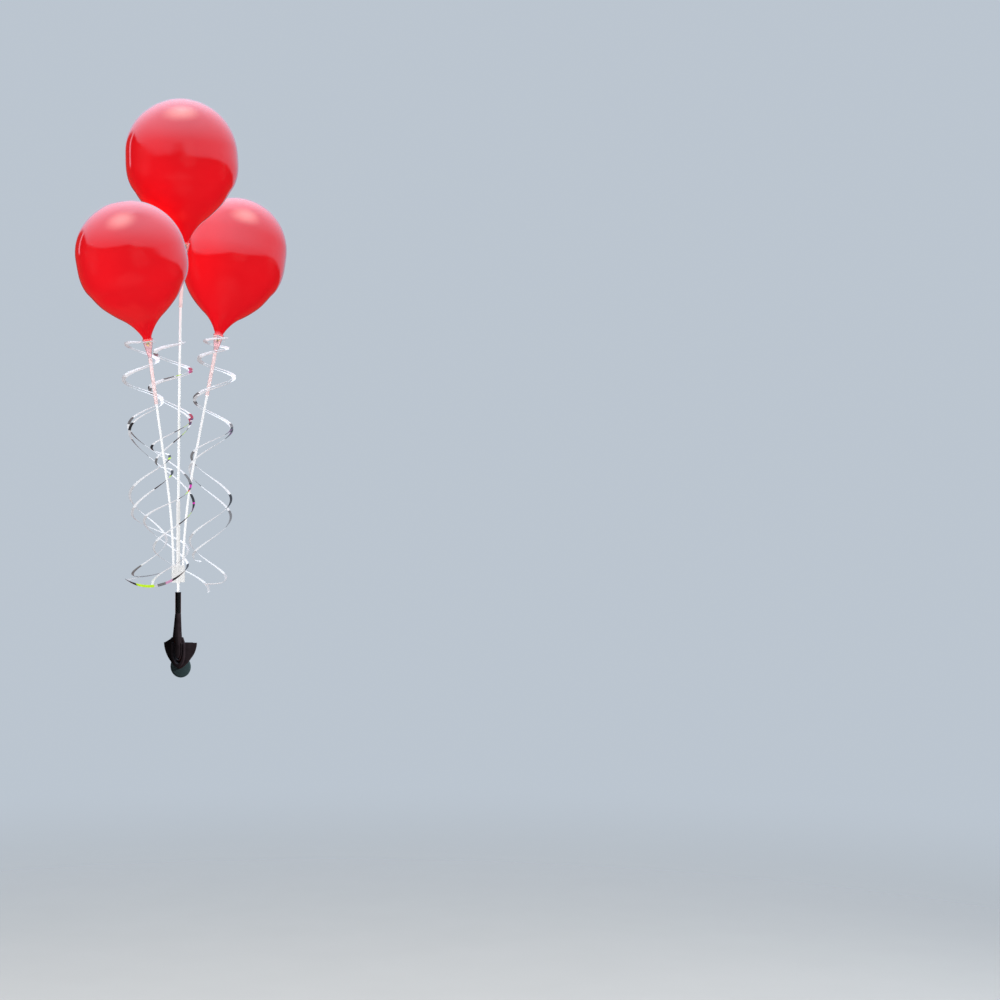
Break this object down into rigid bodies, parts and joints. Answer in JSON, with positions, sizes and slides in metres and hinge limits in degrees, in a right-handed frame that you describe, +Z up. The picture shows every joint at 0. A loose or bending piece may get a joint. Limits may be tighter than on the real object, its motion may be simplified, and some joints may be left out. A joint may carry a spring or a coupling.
{
  "type": "car window balloon display",
  "caption": "Clip for a car window's glass edge with a pole, side sticks in a hub, reusable balloons on clear cups, and foil swirls; the socket turns, the pole lifts out.",
  "frame": {"origin": "middle of the clip's slot, on its roof, which rests on the top edge of the window glass", "axes": "+Z up, -Y out of the car, +X along the glass to the right as seen from outside"},
  "size_m": [0.4012, 0.5984, 1.4579],
  "materials": {
    "black_plastic": "satin moulded black",
    "gloss_black": "glossy black tube",
    "white_plastic": "smooth white rod",
    "clear_plastic": "clear moulded plastic with a pink cast",
    "clear_pad": "clear soft pad, grey green",
    "red_vinyl": "glossy red vinyl",
    "plug": "dark plug with green and yellow",
    "tie": "silver tie",
    "foil": "metallic foil, white and silver with black, magenta and lime patches"
  },
  "bodies": {
    "clip": {"clip_body": "black_plastic", "glass_hook": "black_plastic", "suction_pad": "clear_pad"},
    "socket": {"socket_tube": "gloss_black"},
    "cluster": {"pole_lower": "white_plastic", "pole_upper": "white_plastic", "pole_tube": "white_plastic", "stick_hub": "white_plastic", "stick_left": "white_plastic", "stick_right": "white_plastic", "sleeve_top": "clear_plastic", "sleeve_left": "clear_plastic", "sleeve_right": "clear_plastic", "cup_top": "clear_plastic", "cup_left": "clear_plastic", "cup_right": "clear_plastic", "tie_top": "tie", "tie_left": "tie", "tie_right": "tie", "swirl_left_a": "foil", "swirl_left_b": "foil", "swirl_pole_a": "foil", "swirl_pole_b": "foil", "swirl_right_a": "foil", "swirl_right_b": "foil"},
    "balloon_top": {"balloon_top": "red_vinyl", "plug_top": "plug"},
    "balloon_left": {"balloon_left": "red_vinyl", "plug_left": "plug"},
    "balloon_right": {"balloon_right": "red_vinyl", "plug_right": "plug"}
  },
  "joints": [
    {"name": "socket_turn", "type": "hinge", "parent": "clip", "child": "socket", "pos_m": [0, -0.019, 0.0767], "axis": [0, 0, 1], "continuous": true},
    {"name": "pole_lift", "type": "slide", "parent": "socket", "child": "cluster", "axis": [0, 0, 1], "range_m": [0, 0.05]},
    {"name": "balloon_top_turn", "type": "hinge", "parent": "cluster", "child": "balloon_top", "pos_m": [0.01752, -0.02259, 1.012], "axis": [-0.0158, -0.0467, 0.9988], "continuous": true},
    {"name": "balloon_left_turn", "type": "hinge", "parent": "cluster", "child": "balloon_left", "pos_m": [-0.04305, -0.10715, 0.7624], "axis": [-0.1003, -0.2346, 0.9669], "continuous": true},
    {"name": "balloon_right_turn", "type": "hinge", "parent": "cluster", "child": "balloon_right", "pos_m": [0.05796, 0.09695, 0.79], "axis": [0.0434, 0.3151, 0.9481], "continuous": true}
  ]
}
